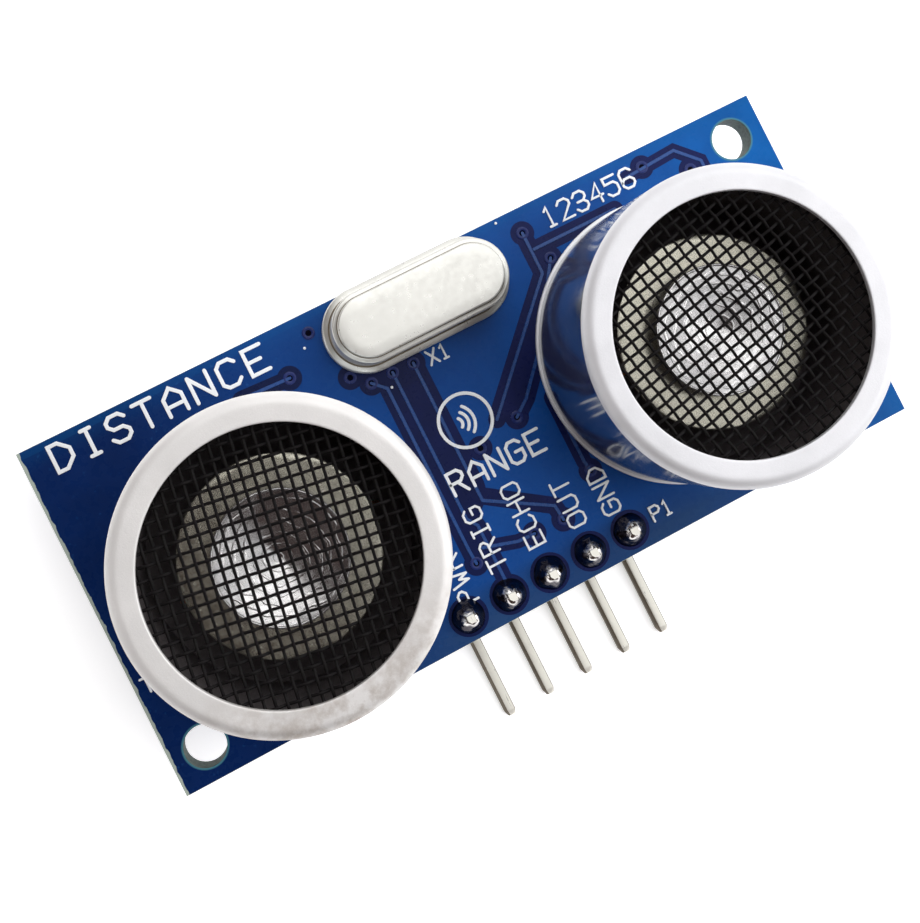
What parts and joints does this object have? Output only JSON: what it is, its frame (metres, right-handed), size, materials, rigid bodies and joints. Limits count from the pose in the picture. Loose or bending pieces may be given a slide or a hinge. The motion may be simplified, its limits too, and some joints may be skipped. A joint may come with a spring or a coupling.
{
  "type": "ultrasonic distance sensor",
  "caption": "Ultrasonic distance sensor: round transmitter and receiver cans, a crystal and a right-angle pin header on one blue circuit board.",
  "frame": {"origin": "midway between the two mounting holes, on the board's rear face", "axes": "+X along the board from transmitter to receiver, +Y towards the edge beside the crystal (away from the pins), +Z the way the transducers face"},
  "size_m": [0.0452, 0.026, 0.0176],
  "materials": {
    "solder_mask": "semi-gloss blue solder mask over fibreglass",
    "tinned_copper": "tinned copper lands and barrels",
    "header_plastic": "matte black moulded",
    "solder": "bright solder",
    "pin_tin": "tin-plated brass",
    "can_aluminium": "satin front, bright drawn side",
    "screen_black": "blackened woven wire",
    "base_black": "matte black moulded",
    "seat_rubber": "soft silicone",
    "piezo_ceramic": "matte fired ceramic",
    "plate_metal": "satin",
    "horn_aluminium": "bright spun",
    "terminal_tin": "tinned wire",
    "wire_copper": "enamelled copper",
    "crystal_nickel": "warm satin nickel",
    "seal_glass": "sintered glass",
    "quartz": "polished quartz",
    "clip_spring": "thin spring strip",
    "chip_plastic": "matte moulded epoxy",
    "chip_tin": "tin-plated leads",
    "resistor_black": "glazed thick film",
    "capacitor_tan": "matte ceramic"
  },
  "bodies": {
    "root": {"circuit_board": "solder_mask", "plated_holes": "tinned_copper", "header_body": "header_plastic", "header_solder": "solder", "pin_supply": "pin_tin", "pin_trigger": "pin_tin", "pin_echo": "pin_tin", "pin_output": "pin_tin", "pin_ground": "pin_tin", "transmitter_can": "can_aluminium", "transmitter_screen": "screen_black", "transmitter_base": "base_black", "transmitter_seat": "seat_rubber", "transmitter_piezo": "piezo_ceramic", "transmitter_plate": "plate_metal", "transmitter_horn": "horn_aluminium", "transmitter_terminals": "terminal_tin", "transmitter_wires": "wire_copper", "transmitter_solder": "solder", "receiver_can": "can_aluminium", "receiver_screen": "screen_black", "receiver_base": "base_black", "receiver_seat": "seat_rubber", "receiver_piezo": "piezo_ceramic", "receiver_plate": "plate_metal", "receiver_horn": "horn_aluminium", "receiver_terminals": "terminal_tin", "receiver_wires": "wire_copper", "receiver_solder": "solder", "crystal_can": "crystal_nickel", "crystal_base": "crystal_nickel", "crystal_seals": "seal_glass", "crystal_leads": "terminal_tin", "crystal_blank": "quartz", "crystal_clips": "clip_spring", "crystal_solder": "solder", "microcontroller_body": "chip_plastic", "microcontroller_leads": "chip_tin", "amplifier_body": "chip_plastic", "amplifier_leads": "chip_tin", "driver_body": "chip_plastic", "driver_leads": "chip_tin", "transistor_bodies": "chip_plastic", "transistor_leads": "chip_tin", "resistor_bodies": "resistor_black", "resistor_terminals": "chip_tin", "capacitor_bodies": "capacitor_tan", "capacitor_terminals": "chip_tin"}
  },
  "joints": []
}
